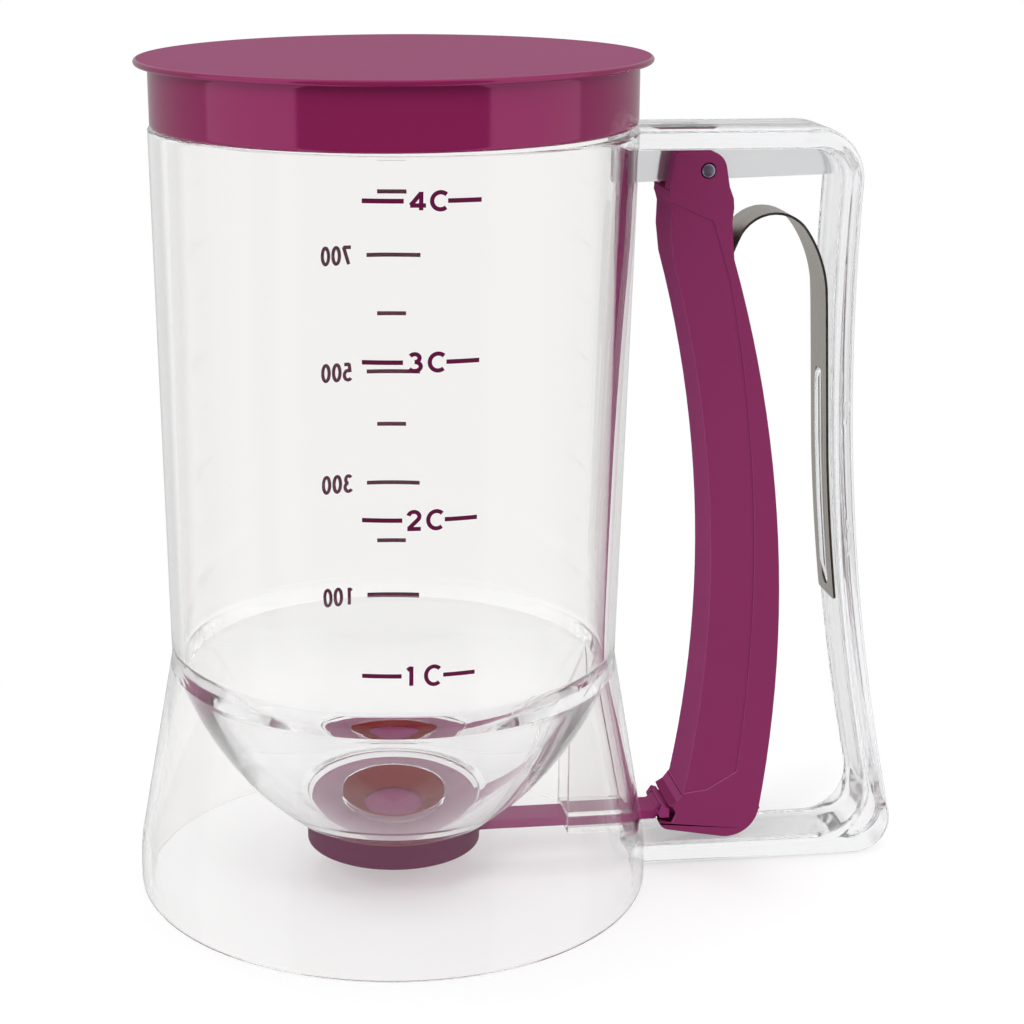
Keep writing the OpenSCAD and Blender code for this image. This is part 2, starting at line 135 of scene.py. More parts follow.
def arc(cx, cz, r, a0, a1, n):
    """n + 1 points round (cx, cz), from angle a0 to a1 in degrees."""
    return [(cx + r * cos(radians(a0 + (a1 - a0) * i / n)), cz + r * sin(radians(a0 + (a1 - a0) * i / n)))
            for i in range(n + 1)]


def dense(points, longest, closed=True, near=0.25, straight=3.0):
    """The same outline with no side longer than that, so that long walls carry even quads.

    A straight side gets a point near each of its ends, so that its shading stays flat."""
    out = []
    for a, b in zip(points, points[1:] + points[:1] if closed else points[1:]):
        run = hypot(b[0] - a[0], b[1] - a[1])
        k = max(1, math.ceil(run / longest))
        shares = [j / k for j in range(k)]
        if run > straight:
            shares = sorted({*shares, near / run, 1 - near / run})
        out += [(a[0] + (b[0] - a[0]) * f, a[1] + (b[1] - a[1]) * f) for f in shares]
    return out if closed else out + points[-1:]


def lathe(name, outline, seg, closed=True):
    """Turns (radius, z) points about Z. Points on the axis become one vertex."""
    verts, rings = [], []
    for r, z in outline:
        if r < 1e-6:
            rings.append([len(verts)] * seg)
            verts.append((0, 0, z))
        else:
            rings.append(list(range(len(verts), len(verts) + seg)))
            verts += [(r * cos(2 * pi * k / seg), r * sin(2 * pi * k / seg), z) for k in range(seg)]
    faces, n = [], len(outline)
    for i in range(n if closed else n - 1):
        a, b = rings[i], rings[(i + 1) % n]
        for k in range(seg):
            f = [a[k], a[(k + 1) % seg], b[(k + 1) % seg], b[k]]
            f = [v for j, v in enumerate(f) if v not in f[:j]]
            if len(f) > 2:
                faces.append(f)
    return outward(mesh_from(name, verts, faces))


def prism(name, outline, y0, y1):
    """An (x, z) outline made solid between y0 and y1."""
    n = len(outline)
    verts = [(x, y0, z) for x, z in outline] + [(x, y1, z) for x, z in outline]
    faces = [list(range(n)), list(range(2 * n - 1, n - 1, -1))]
    faces += [[i, (i + 1) % n, n + (i + 1) % n, n + i] for i in range(n)]
    return outward(mesh_from(name, verts, faces))


def block(name, lo, hi):
    return prism(name, [(lo[0], lo[2]), (hi[0], lo[2]), (hi[0], hi[2]), (lo[0], hi[2])], lo[1], hi[1])


FOLD, FLAT = radians(30), radians(0.4)     # edges that bend more are rounded, edges that bend less are dissolved
LOW_STEP, LOW_SHARE = 0.45, 0.5            # a lower step across the handle gets that share of the rounding


def bevel(ob, width):
    m = ob.modifiers.new("bevel", "BEVEL")
    m.width, m.segments, m.limit_method, m.angle_limit = width * MM, 3, "ANGLE", FOLD
    return apply_modifiers(ob)


def low_side(face):
    """Whether the face is the side of a low step across the handle."""
    run = [v.co.y for v in face.verts]
    return abs(face.normal.y) < 0.5 and max(run) - min(run) < LOW_STEP * MM


def cad_copy(node, name, width, sharp=None):
    """A copy of a CAD node's mesh with its flat faces joined and its edges rounded.

    The upper edge of a low step gets a share of the rounding, its lower edge none, and its side the second material,
    which on the trigger is a lighter plum: a painted highlight.
    Edges inside the box sharp, (low corner, high corner), stay as they are, so that a running fit keeps its gap."""
    ob = new_object(name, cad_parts[node].data.copy())
    ob.data.materials.clear()
    bm = bmesh.new()
    bm.from_mesh(ob.data)
    bmesh.ops.remove_doubles(bm, verts=bm.verts, dist=2e-6)
    bmesh.ops.dissolve_limit(bm, angle_limit=FLAT, verts=bm.verts, edges=bm.edges)
    bmesh.ops.recalc_face_normals(bm, faces=bm.faces)
    weight = bm.edges.layers.float.new("bevel_weight_edge")
    # A low step's sides take the second material; on the trigger that paints a highlight line on them.
    for f in bm.faces:
        f.material_index = int(low_side(f))
    for e in bm.edges:
        if len(e.link_faces) != 2 or e.calc_face_angle(0) < FOLD:
            continue
        if sharp and all(lo * MM < c < hi * MM for v in e.verts for lo, c, hi in zip(sharp[0], v.co, sharp[1])):
            continue
        share = LOW_SHARE if e.is_convex else 0.0
        e[weight] = share if any(low_side(f) for f in e.link_faces) else 1.0
    bm.to_mesh(ob.data)
    bm.free()
    m = ob.modifiers.new("bevel", "BEVEL")
    m.width, m.segments, m.limit_method = width * MM, 3, "WEIGHT"
    m.use_clamp_overlap = False
    ob.data.shade_smooth()
    w = ob.modifiers.new("normals", "WEIGHTED_NORMAL")
    w.mode, w.weight, w.keep_sharp = "FACE_AREA", 50, True
    return apply_modifiers(ob)


# ---------------------------------------------------------------- materials
def nodes_of(name):
    """A new material, its node tree, its Principled shader and its output."""
    m = bpy.data.materials.new(name)
    m.use_nodes = True
    nt = m.node_tree
    return m, nt, nt.nodes["Principled BSDF"], nt.nodes["Material Output"]


def noise(nt, scale, detail, stretch=(1, 1, 1)):
    co = nt.nodes.new("ShaderNodeTexCoord")
    mp = nt.nodes.new("ShaderNodeMapping")
    mp.inputs["Scale"].default_value = stretch
    n = nt.nodes.new("ShaderNodeTexNoise")
    n.inputs["Scale"].default_value, n.inputs["Detail"].default_value = scale, detail
    nt.links.new(co.outputs["Object"], mp.inputs["Vector"])
    nt.links.new(mp.outputs["Vector"], n.inputs["Vector"])
    return n.outputs["Fac"]


def ramp(nt, fac, lo, hi, a=0.35, b=0.65):
    """fac from a to b becomes lo to hi, and is clamped outside."""
    r = nt.nodes.new("ShaderNodeMapRange")
    r.inputs["From Min"].default_value, r.inputs["From Max"].default_value = a, b
    r.inputs["To Min"].default_value, r.inputs["To Max"].default_value = lo, hi
    nt.links.new(fac, r.inputs["Value"])
    return r.outputs["Result"]


def two_colours(nt, fac, c0, c1, a=0.3, b=0.7):
    r = nt.nodes.new("ShaderNodeValToRGB")
    r.color_ramp.elements[0].position, r.color_ramp.elements[0].color = a, (*c0, 1)
    r.color_ramp.elements[1].position, r.color_ramp.elements[1].color = b, (*c1, 1)
    nt.links.new(fac, r.inputs["Fac"])
    return r.outputs["Color"]


def bump(nt, fac, strength, distance):
    b = nt.nodes.new("ShaderNodeBump")
    b.inputs["Strength"].default_value, b.inputs["Distance"].default_value = strength, distance
    nt.links.new(fac, b.inputs["Height"])
    return b.outputs["Normal"]


def calc(nt, operation, a, b):
    """A Math node; a and b are numbers or outputs of other nodes."""
    m = nt.nodes.new("ShaderNodeMath")
    m.operation = operation
    for i, v in enumerate((a, b)):
        if isinstance(v, (int, float)):
            m.inputs[i].default_value = v
        else:
            nt.links.new(v, m.inputs[i])
    return m.outputs[0]


def srgb(r, g, b):
    return tuple((c / 255 / 12.92 if c / 255 <= 0.04045 else ((c / 255 + 0.055) / 1.055) ** 2.4) for c in (r, g, b))


# Texture scales are per metre: slow drifts of colour and gloss, and a fine grain
DRIFT, GLOSS_DRIFT, GRAIN, GRAIN_DEPTH = 28, 60, 1400, 0.0002
RIPPLE, RIPPLE_DEPTH, HAZE_DRIFT = 45, 0.002, 25


def plastic(name, colour, vary=0.95, rough=(0.26, 0.34), grain=0.05, shine=0.5, ior=1.49, sheen=0.0):
    """Opaque plastic: its colour drifts down to the share vary, rough is its range, grain the strength of its bump."""
    m, nt, p, _ = nodes_of(name)
    dark = tuple(c * vary for c in colour)
    nt.links.new(two_colours(nt, noise(nt, DRIFT, 2), dark, colour, 0.1, 0.9), p.inputs["Base Color"])
    nt.links.new(ramp(nt, noise(nt, GLOSS_DRIFT, 3), *rough, 0.1, 0.9), p.inputs["Roughness"])
    nt.links.new(bump(nt, noise(nt, GRAIN, 4), grain, GRAIN_DEPTH), p.inputs["Normal"])
    p.inputs["IOR"].default_value = ior
    p.inputs["Specular IOR Level"].default_value = shine
    p.inputs["Sheen Weight"].default_value = sheen
    p.inputs["Sheen Roughness"].default_value = 0.5
    return m


def clear(name, tint, haze, rough, wave=0.02, shade=0.955, ior=1.49, mirror=1.0):
    """Clear moulded plastic: it refracts what the camera sees and lets lamp and bounced light pass.

    haze is the share of milky scatter, wave the depth of its ripples, shade what it leaves of the light behind it, and
    mirror the strength of its reflections."""
    m, nt, p, out = nodes_of(name)
    p.inputs["Base Color"].default_value = (*tint, 1)
    p.inputs["Transmission Weight"].default_value = 1.0
    p.inputs["IOR"].default_value = ior
    p.inputs["Specular Tint"].default_value = (mirror, mirror, mirror, 1)
    nt.links.new(ramp(nt, noise(nt, GLOSS_DRIFT, 2), *rough), p.inputs["Roughness"])
    nt.links.new(bump(nt, noise(nt, RIPPLE, 2), wave, RIPPLE_DEPTH), p.inputs["Normal"])
    milk = nt.nodes.new("ShaderNodeBsdfDiffuse")
    milk.inputs["Color"].default_value = (0.92, 0.92, 0.92, 1)
    mix = nt.nodes.new("ShaderNodeMixShader")
    nt.links.new(ramp(nt, noise(nt, HAZE_DRIFT, 2), haze * 0.8, haze * 1.2), mix.inputs["Fac"])
    nt.links.new(p.outputs["BSDF"], mix.inputs[1])
    nt.links.new(milk.outputs["BSDF"], mix.inputs[2])
    path = nt.nodes.new("ShaderNodeLightPath")
    unseen = calc(nt, "MAXIMUM", path.outputs["Is Shadow Ray"], path.outputs["Is Diffuse Ray"])
    let = nt.nodes.new("ShaderNodeBsdfTransparent")
    let.inputs["Color"].default_value = (shade, shade, shade, 1)
    last = nt.nodes.new("ShaderNodeMixShader")
    nt.links.new(unseen, last.inputs["Fac"])
    nt.links.new(mix.outputs["Shader"], last.inputs[1])
    nt.links.new(let.outputs["BSDF"], last.inputs[2])
    nt.links.new(last.outputs["Shader"], out.inputs["Surface"])
    return m


def steel(name, light, dark, rough, stretch):
    """Brushed steel; stretch is the noise's scale along each axis, so that its grain runs one way."""
    m, nt, p, _ = nodes_of(name)
    p.inputs["Metallic"].default_value = 1.0
    nt.links.new(two_colours(nt, noise(nt, 1, 4, stretch), dark, light), p.inputs["Base Color"])
    nt.links.new(ramp(nt, noise(nt, 1, 5, stretch), *rough), p.inputs["Roughness"])
    nt.links.new(bump(nt, noise(nt, 1, 4, stretch), 0.15, 0.0001), p.inputs["Normal"])
    return m


plum = plastic("plum_plastic", srgb(141, 54, 100), rough=(0.40, 0.48), shine=0.0)
# A lighter plum on the sides of the trigger's panel step: a painted highlight line.
plum_step_painted_highlight = plastic("plum_step_painted_highlight", srgb(172, 92, 138), rough=(0.40, 0.48), shine=0.0)
# A lighter plum on the trigger's front face: painted light against the shade that falls on it.
plum_front_painted_light = plastic("plum_front_painted_light", srgb(166, 74, 126), rough=(0.40, 0.48), shine=0.0)
# The valve in a lighter plum, painted light for its dim place under the bowl; the disc's side in a darker one, painted
# shade.
valve_plum_painted_light = plastic("valve_plum_painted_light", srgb(156, 50, 112), rough=(0.40, 0.48), shine=0.2)
plum_shade = plastic("valve_side_plum_painted_shade", srgb(106, 31, 74), rough=(0.45, 0.55), shine=0.1)
plum_lid = plastic("plum_lid", srgb(138, 30, 84), rough=(0.07, 0.10), grain=0.01, ior=1.9)
plum_lid.node_tree.nodes["Principled BSDF"].inputs["Specular Tint"].default_value = (1.0, 0.30, 0.60, 1)
plum_top = plastic("plum_lid_top", srgb(141, 42, 97), rough=(0.5, 0.6), shine=0.0, sheen=0.15)
ink = plastic("ink", srgb(104, 16, 66), vary=0.85, rough=(0.4, 0.55), grain=0.02, shine=0.2)
clear_cup = clear("clear_cup", (0.952, 0.948, 0.942), 0.003, (0.0, 0.015), ior=1.32, mirror=0.6)
clear_web = clear("clear_web", (0.70, 0.705, 0.715), 0.08, (0.15, 0.22))
clear_floor = clear("clear_floor", (0.985, 0.965, 0.98), 0.045, (0.01, 0.04), ior=1.4, mirror=0.4)
clear_bowl = clear("clear_bowl", (0.985, 0.987, 0.99), 0.005, (0.0, 0.015), ior=1.38, mirror=0.25)
clear_skirt = clear("clear_skirt", (0.965, 0.962, 0.958), 0.014, (0.0, 0.02), ior=1.34)
clear_handle = clear("clear_handle", (0.95, 0.955, 0.965), 0.05, (0.02, 0.06), shade=0.85)
clear_low = clear("clear_low_bar", (0.955, 0.96, 0.965), 0.03, (0.0, 0.03), shade=0.8)
seal = plastic("red_silicone", srgb(138, 28, 32), vary=0.85, rough=(0.35, 0.5), grain=0.05, shine=0.0)
leaf_face = steel("leaf_steel", srgb(214, 209, 202), srgb(186, 180, 172), (0.22, 0.38), (30, 3000, 30))
leaf_edge = steel("leaf_edge", srgb(122, 112, 102), srgb(84, 76, 70), (0.4, 0.55), (400, 3000, 400))
pin_steel = steel("pin_steel", srgb(178, 170, 190), srgb(156, 148, 170), (0.25, 0.4), (900, 900, 900))

# ---------------------------------------------------------------- sizes shared with the CAD
BASE_R, FOOT_TOP, FLARE_R, SKIRT_R = 57.5, 5.0, 40, 49.7        # the skirt's side: upright foot, flare, upper end
WAIST_R, TOP_R, SHOULDER = 49.4, 51.6, 169.6                    # the cup's side, up to the step under the lid
MOUTH_R, MOUTH_IN, MOUTH_TOP = 49.35, 47.85, 182.5              # its mouth, which the lid covers
JOIN_TOP, JOIN_LOW = 56.0, 52.0                                 # the bowl's rim and the skirt's upper end
FLOOR, FLOOR_TOP, RIM_R = 14.4, 17.8, 46.8                      # the bowl's floor and the radius of its rim
POST_X, BOW_R, BOW_Z, POST_T = 100.6, 535.0, 137.0, 5.0         # the post bows about the height BOW_Z
TOP_Z, BAR_LOW, WEB_LOW, WEB_TOP = 169.6, 164.6, 157.2, 166.5   # the top bar and the web below it
LOW_Z, LOW_TOP = 0.2, 5.4                                       # the bottom bar
HALF_W, EDGE_R = 8.5, 1.9                                       # half the handle's width, and its edges' radius
PIVOT = (66.4, 160.3)                                           # x and z of the pin
GUIDE_IN, GUIDE_LOW, GUIDE_TOP, GUIDE_HALF = 39.5, 8.7, 13.5, 4.5
SLOT_LOW, SLOT_TOP, SLOT_HALF = 9.6, 12.4, 4.3                  # the tongue's way through the skirt


def bowl_arc(lean, floor_r):
    """Arc from the bowl's rim, lean from upright, to its flat floor: centre, radius and both end angles."""
    lean, d, h = radians(lean), RIM_R - floor_r, JOIN_TOP - FLOOR_TOP
    r = (d * d + h * h) / (2 * (d * cos(lean) - h * sin(lean)))
    x, z = RIM_R - r * cos(lean), JOIN_TOP + r * sin(lean)
    return x, z, r, -lean, math.asin((FLOOR_TOP - z) / r)


def circle_through(a, b, c):
    """Centre and radius of the circle through three (x, z) points."""
    ab, ac = Vector(b) - Vector(a), Vector(c) - Vector(a)
    d = 2 * (ab.x * ac.y - ab.y * ac.x)
    off = Vector((ac.y * ab.dot(ab) - ab.y * ac.dot(ac), ab.x * ac.dot(ac) - ac.x * ab.dot(ab))) / d
    return a[0] + off.x, a[1] + off.y, off.length


def outside(share):
    """Point outside the CAD bowl, from its rim (0) to its floor (1): its wall grows from 2 to 4.9 mm."""
    x, z, r, a0, a1 = bowl_arc(15.5, 17.4)
    a, r = a0 + share * (a1 - a0), r + 2.0 + share * 2.9
    return x + r * cos(a), z + r * sin(a)


OUT_X, OUT_Z, OUT_R = circle_through(outside(0), outside(0.5), outside(1))
BOWL_X, BOWL_Z, BOWL_R, BOWL_TOP_A, BOWL_LOW_A = bowl_arc(16.5, 20.2)     # inside: a wider floor than the CAD bowl


def post_out(z):
    """x of the post's outer face at a height."""
    return POST_X + BOW_R - sqrt(BOW_R ** 2 - (z - BOW_Z) ** 2)


def post_in(z):
    """x of the post's inner face at a height."""
    return POST_X + BOW_R - sqrt((BOW_R + POST_T) ** 2 - (z - BOW_Z) ** 2)


def skirt_side(inset):
    """Foot to waist, moved inwards."""
    steps = 10
    flare = degrees(atan2(BASE_R - SKIRT_R, JOIN_LOW - FOOT_TOP)) + 0.6      # how far the flare's arc turns
    pts = [(BASE_R - inset, FOOT_TOP)]
    pts += [(BASE_R - FLARE_R * (1 - cos(radians(flare * i / steps))) - inset,
             FOOT_TOP + FLARE_R * sin(radians(flare * i / steps))) for i in range(1, steps + 1)]
    return pts + [(SKIRT_R - inset, JOIN_LOW)]


# ---------------------------------------------------------------- clear vessel
inner_bowl = arc(BOWL_X, BOWL_Z, BOWL_R, degrees(BOWL_TOP_A), degrees(BOWL_LOW_A), 36)
UNDER, SKIRT_JOIN = 16.0, 50.3   # the bowl's outside runs from above the flange's edge to the skirt's inside
outer_bowl = arc(OUT_X, OUT_Z, OUT_R, degrees(math.asin((UNDER + 0.5 - OUT_Z) / OUT_R)),
                 degrees(math.asin((SKIRT_JOIN - OUT_Z) / OUT_R)), 34)
under_r = outer_bowl[0][0]
skirt_inside = [p for p in skirt_side(2.0) if p[1] < SKIRT_JOIN - 0.2]
waist = [(49.45, 53.2), (49.38, 54.4), (49.44, JOIN_TOP)]
shoulder = [(TOP_R, SHOULDER - 0.5), (TOP_R - 0.15, SHOULDER - 0.15), (TOP_R - 0.5, SHOULDER), (MOUTH_R, SHOULDER)]
mouth = [(MOUTH_R, MOUTH_TOP - 0.5), (MOUTH_R - 0.15, MOUTH_TOP - 0.15), (MOUTH_R - 0.5, MOUTH_TOP),
         (MOUTH_IN + 0.5, MOUTH_TOP), (MOUTH_IN + 0.15, MOUTH_TOP - 0.15), (MOUTH_IN, MOUTH_TOP - 0.5)]
outlet = [(12.4, FLOOR_TOP), (12.12, FLOOR_TOP - 0.12), (12.0, FLOOR_TOP - 0.4), (12.0, 14.6), (12.2, FLOOR)]
flange = [(20.4, FLOOR), (20.8, 14.57), (21.0, 15.0), (21.0, UNDER - 0.2), (21.2, UNDER),
          (under_r - 0.9, UNDER), (under_r - 0.3, UNDER + 0.15)]
foot = [(55.5, 1.2), (55.65, 0.5), (56.1, 0.12), (56.7, 0.0), (57.1, 0.35 * 0.3), (57.4, 0.5)]
profile = [(BASE_R, 1.2), *skirt_side(0), *waist, *shoulder, *mouth, *inner_bowl, *outlet, *flange, *outer_bowl,
           *skirt_inside[::-1], *foot]
vessel = lathe("clear_body", dense(profile, 4.0), 288)

# handle: matched stations on the outer and inner outlines, each with a rounded section
def corner(bow, level, r, side):
    """Corner of radius r between the post's line (a circle of radius bow) and a bar's level line.

    Gives its centre and the angle at which it touches the post; side is 1 at the top, -1 below."""
    z = level - side * r
    x = POST_X + BOW_R - sqrt((bow + r) ** 2 - (z - BOW_Z) ** 2)
    return x, z, degrees(atan2(BOW_Z - z, POST_X + BOW_R - x))


BAR_START, BAR_END = 49.5, 56.4  # the bars begin inside the walls of the cup and of the skirt


def handle_line(bow, top, low, top_r, low_r):
    """From the cup along the top bar, round the corner, down the post and back along the bottom bar."""
    tx, tz, ta = corner(bow, top, top_r, 1)
    bx, bz, ba = corner(bow, low, low_r, -1)
    z0, z1 = tz + top_r * sin(radians(ta)), bz + low_r * sin(radians(ba))
    post = [z0 + (z1 - z0) * i / 40 for i in range(1, 40)]
    return ([(BAR_START + (tx - BAR_START) * i / 10, top) for i in range(10)] + arc(tx, tz, top_r, 90, ta, 14)
            + [(POST_X + BOW_R - sqrt(bow ** 2 - (z - BOW_Z) ** 2), z) for z in post]
            + arc(bx, bz, low_r, ba, -90, 14) + [(bx + (BAR_END - bx) * i / 12, low) for i in range(1, 13)])


# the loop's outer and inner outline, with the radii of the upper and the lower corner
out_line = handle_line(BOW_R, TOP_Z, LOW_Z, 12, 8)
in_line = handle_line(BOW_R + POST_T, BAR_LOW, LOW_TOP, 6.4, 10.4)


def section(o, i, half, r):
    """Rounded rectangle between two outline points."""
    o, i = Vector(o), Vector(i)
    t = (o - i).length
    r = min(r, t * 0.48)
    flat = dense(rounded([(-half, 0), (half, 0), (half, t), (-half, t)], r, 15), 20, straight=8)
    d = (o - i) / t
    return [(i.x + d.x * b, a, i.y + d.y * b) for a, b in flat]


def loft(name, sections):
    """Joins closed sections of the same number of points into one solid with flat ends."""
    n, verts, faces = len(sections[0]), [], []
    for s in sections:
        verts += s
    for a in range(len(sections) - 1):
        faces += [[a * n + k, a * n + (k + 1) % n, (a + 1) * n + (k + 1) % n, (a + 1) * n + k] for k in range(n)]
    faces += [list(range(n)), list(range(len(verts) - 1, len(verts) - n - 1, -1))]
    return outward(mesh_from(name, verts, faces))


handle = loft("handle", [section(o, i, HALF_W, EDGE_R) for o, i in zip(out_line, in_line)])
WEB_START, WEB_HALF, WEB_RISE = 49.6, 2.2, 1.4            # its lower edge rises by that towards the post
web = prism("web", [(WEB_START, WEB_LOW), (post_in(WEB_LOW) + 1, WEB_LOW + WEB_RISE),
                    (post_in(WEB_LOW) + 2, WEB_TOP), (WEB_START, WEB_TOP)], -WEB_HALF, WEB_HALF)
bevel(web, 0.5)
mid = OUT_R - 1.0                # the ribs end inside the bowl's wall
rib_top = [(x, OUT_Z - sqrt(mid ** 2 - (x - OUT_X) ** 2)) for x in [GUIDE_IN, 41, 42.5, 44, 45.5, RIM_R]]
guide_side = [(GUIDE_IN, GUIDE_LOW), (56.2, GUIDE_LOW), (56.0, 14), (54.0, 24), (52.2, 34), (50.3, 43), (49.2, 48)]
guide_floor = block("guide_floor", (GUIDE_IN, -GUIDE_HALF, GUIDE_LOW), (56.2, GUIDE_HALF, 9.7))
guide_roof = block("guide_roof", (GUIDE_IN, -GUIDE_HALF, 12.3), (55.9, GUIDE_HALF, GUIDE_TOP))
RIB_Y, RIB_HALF, KEEPER_HALF = 5.2, 0.8, 1.4
ribs = [prism("rib", guide_side + rib_top[::-1], y - RIB_HALF, y + RIB_HALF) for y in (-RIB_Y, RIB_Y)]
keeper_front = [(post_in(z) - 1.25, z) for z in (113.5, 100, 85, 70)] + [(post_in(66.5) - 0.6, 66.5)]
keeper_back = [(post_in(z) + 1.5, z) for z in (66, 75, 85, 95, 105, 115)] + [(post_in(115) - 0.6, 115)]
keeper = prism("keeper", keeper_front + keeper_back, -KEEPER_HALF, KEEPER_HALF)


def sink(across, z, tall, square):
    """A narrow lens cut into the post's front, across it by that share. A square one has a level top."""
    x = post_in(z) + (post_out(z) - post_in(z)) * across + 0.9
    lens = [(x + side * 0.55 * cos(a) ** 2, z + tall / 2 * sin(a))
            for side, run in ((-1, range(90, -91, -15)), (1, range(-75, 90, 15))) for a in map(radians, run)]
    if square:
        lens = [(px, min(pz, z + tall * 0.2)) for px, pz in lens]
        lens = [q for i, q in enumerate(lens) if q not in lens[:i]]
    return prism("mark", lens, -9, -7.9)


sinks = [sink(0.45, 107.6, 7.0, True), sink(0.38, 77.2, 7.4, False)]

# the body's materials, by slot
CLEARS = (clear_cup, clear_web, clear_floor, clear_skirt, clear_handle, clear_low, clear_bowl)
CUP, WEB, UNDERSIDE, SKIRT, HANDLE, LOW_BAR, BOWL = range(len(CLEARS))
LOW_BAR_TOP, SKIRT_TOP, FLANGE_R = 5.6, 53.0, 21.2      # where one clear plastic gives way to the next


def zone(r, z):
    """Which of the clear plastics a spot of the turned body shows."""
    if r < FLANGE_R and z < FLOOR_TOP + 0.3:
        return UNDERSIDE
    if z < JOIN_TOP and r < min(RIM_R + 0.1, OUT_X + sqrt(max(0, OUT_R ** 2 - (z - OUT_Z) ** 2)) + 0.3):
        return BOWL
    return SKIRT if z < SKIRT_TOP else CUP


for ob in (vessel, handle, web, guide_floor, guide_roof, keeper, *ribs, *sinks):
    for m in CLEARS:
        ob.data.materials.append(m)
for p in vessel.data.polygons:
    c = p.center / MM
    p.material_index = zone(hypot(c.x, c.y), c.z)
for p in web.data.polygons:
    p.material_index = WEB
for ob in (guide_floor, guide_roof, *ribs):
    for p in ob.data.polygons:
        p.material_index = SKIRT
for ob in (handle, keeper, *sinks):
    for p in ob.data.polygons:
        p.material_index = LOW_BAR if p.center.z < LOW_BAR_TOP * MM else HANDLE
for other in (handle, web, guide_floor, guide_roof, *ribs, keeper):
    boolean(vessel, other, "UNION")
for other in sinks:
    boolean(vessel, other, "DIFFERENCE")
slot = prism("slot", rounded([(39, SLOT_LOW), (60, SLOT_LOW), (60, SLOT_TOP), (39, SLOT_TOP)], 0.2),
             -SLOT_HALF, SLOT_HALF)
boolean(vessel, slot, "DIFFERENCE")
smooth(vessel, 40)
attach(vessel, "vessel")
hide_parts("cup_wall", "bowl", "skirt", "slider_guide", "handle_top_bar", "handle_post", "handle_bottom_bar",
            "spring_keeper")

# ---------------------------------------------------------------- lid
LID_TOP, LIP_T, LIP_R, LID_R, LID_LOW = 184.3, 1.3, 54.15, 51.25, 170.2
LID_IN, LID_UNDER, LOW_EDGE = 49.55, 182.6, 0.9   # the bore, the plate's underside and the radius of the lower edge
lid_line = [(0, LID_UNDER), (49.3, LID_UNDER), (LID_IN, 182.35), (LID_IN, LID_LOW + 0.2), (49.75, LID_LOW),
            *arc(LID_R - LOW_EDGE, LID_LOW + LOW_EDGE, LOW_EDGE, -90, 0, 8),
            (LID_R, 182.4), (LID_R + 0.15, 182.85), (LID_R + 0.5, 183.0),
            *arc(LIP_R - LIP_T / 2, LID_TOP - LIP_T / 2, LIP_T / 2, -90, 90, 12),
            (50, LID_TOP), (48, LID_TOP), (25, LID_TOP), (0, LID_TOP)]
lid = lathe("lid_cap", dense(lid_line, 3.0, closed=False), 288, closed=False)
LID_TILT, TILT_Z, TILT_AXIS = radians(-0.6), 0.177, Vector((0.0965, 0.9953, 0))   # a little higher by the handle
lid.data.transform(Matrix.Translation((0, 0, TILT_Z)) @ Matrix.Rotation(LID_TILT, 4, TILT_AXIS)
                   @ Matrix.Translation((0, 0, -TILT_Z)))
lid.data.materials.append(plum_lid)
lid.data.materials.append(plum_top)
for p in lid.data.polygons:
    c = p.center / MM
    if p.normal.z > 0.9 and hypot(c.x, c.y) < LIP_R - LIP_T / 2 and c.z > 183.5:     # the plate's top
        p.material_index = 1
smooth(lid, 40)
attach(lid, "lid")
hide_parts("lid")

# ---------------------------------------------------------------- trigger, valve, pin, seal
FOOT_SLOT = ((55, -6.2, 5), (69, 6.2, 17))       # two corners of a box round the slot that holds the trunnion
trigger = cad_copy("trigger", "trigger_grip", 0.35, sharp=FOOT_SLOT)
for m in (plum, plum_step_painted_highlight, plum_front_painted_light):
    trigger.data.materials.append(m)
# The front face takes a lighter plum, painted light.
for p in trigger.data.polygons:
    if p.normal.x < -0.6:        # the front face
        p.material_index = 2
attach(trigger, "trigger")
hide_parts("trigger")

valve = cad_copy("slide_valve", "valve_slider", 0.3)
valve.data.materials.append(valve_plum_painted_light)
valve.data.materials.append(plum_shade)
for p in valve.data.polygons:
    c = p.center / MM
    # The disc's side takes the darker plum, painted shade; the rest takes the lighter plum, painted light.
    p.material_index = int(hypot(c.x, c.y) > 18.5 and c.x < 19.6 and abs(p.normal.z) < 0.9)   # the disc's side
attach(valve, "valve")
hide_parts("slide_valve")

funnel_line = [(7.0, 14.3), (12.0, 14.3), (12.0, 17.6), (11.8, 17.82), (11.5, 17.7), (7.15, 15.0), (7.0, 14.9)]
funnel = lathe("outlet_liner", funnel_line, 96)
funnel.data.materials.append(seal)
smooth(funnel, 40)
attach(funnel, "vessel")
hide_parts("outlet_seal")

pin_head = [(1.5, 7.3), (1.4, 7.6), (1.1, 7.72), (0, 7.75)]
pin = lathe("hinge_pin", [(r, -z) for r, z in pin_head[::-1]] + pin_head, 48, closed=False)
pin.data.transform(Matrix.Translation((PIVOT[0] * MM, 0, PIVOT[1] * MM)) @ Matrix.Rotation(radians(90), 4, "X"))
pin.data.materials.append(pin_steel)
smooth(pin, 50)
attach(pin, "vessel")
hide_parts("pivot_pin")

# ---------------------------------------------------------------- leaf spring
LEAF_T, LEAF_W, LEAF_LOW, HUG = 0.55, 11.4, 62.4, 36.0       # HUG is how far the strip follows the post
TAIL, TAIL_A, LEAF_STEP = 20, 158, 1.5                       # straight end, its direction, length of one bending step
SLIT_LOW, SLIT_TOP, SLIT_R = 64.6, 116.5, 2


def direction(a):
    return Vector((cos(radians(a)), sin(radians(a))))


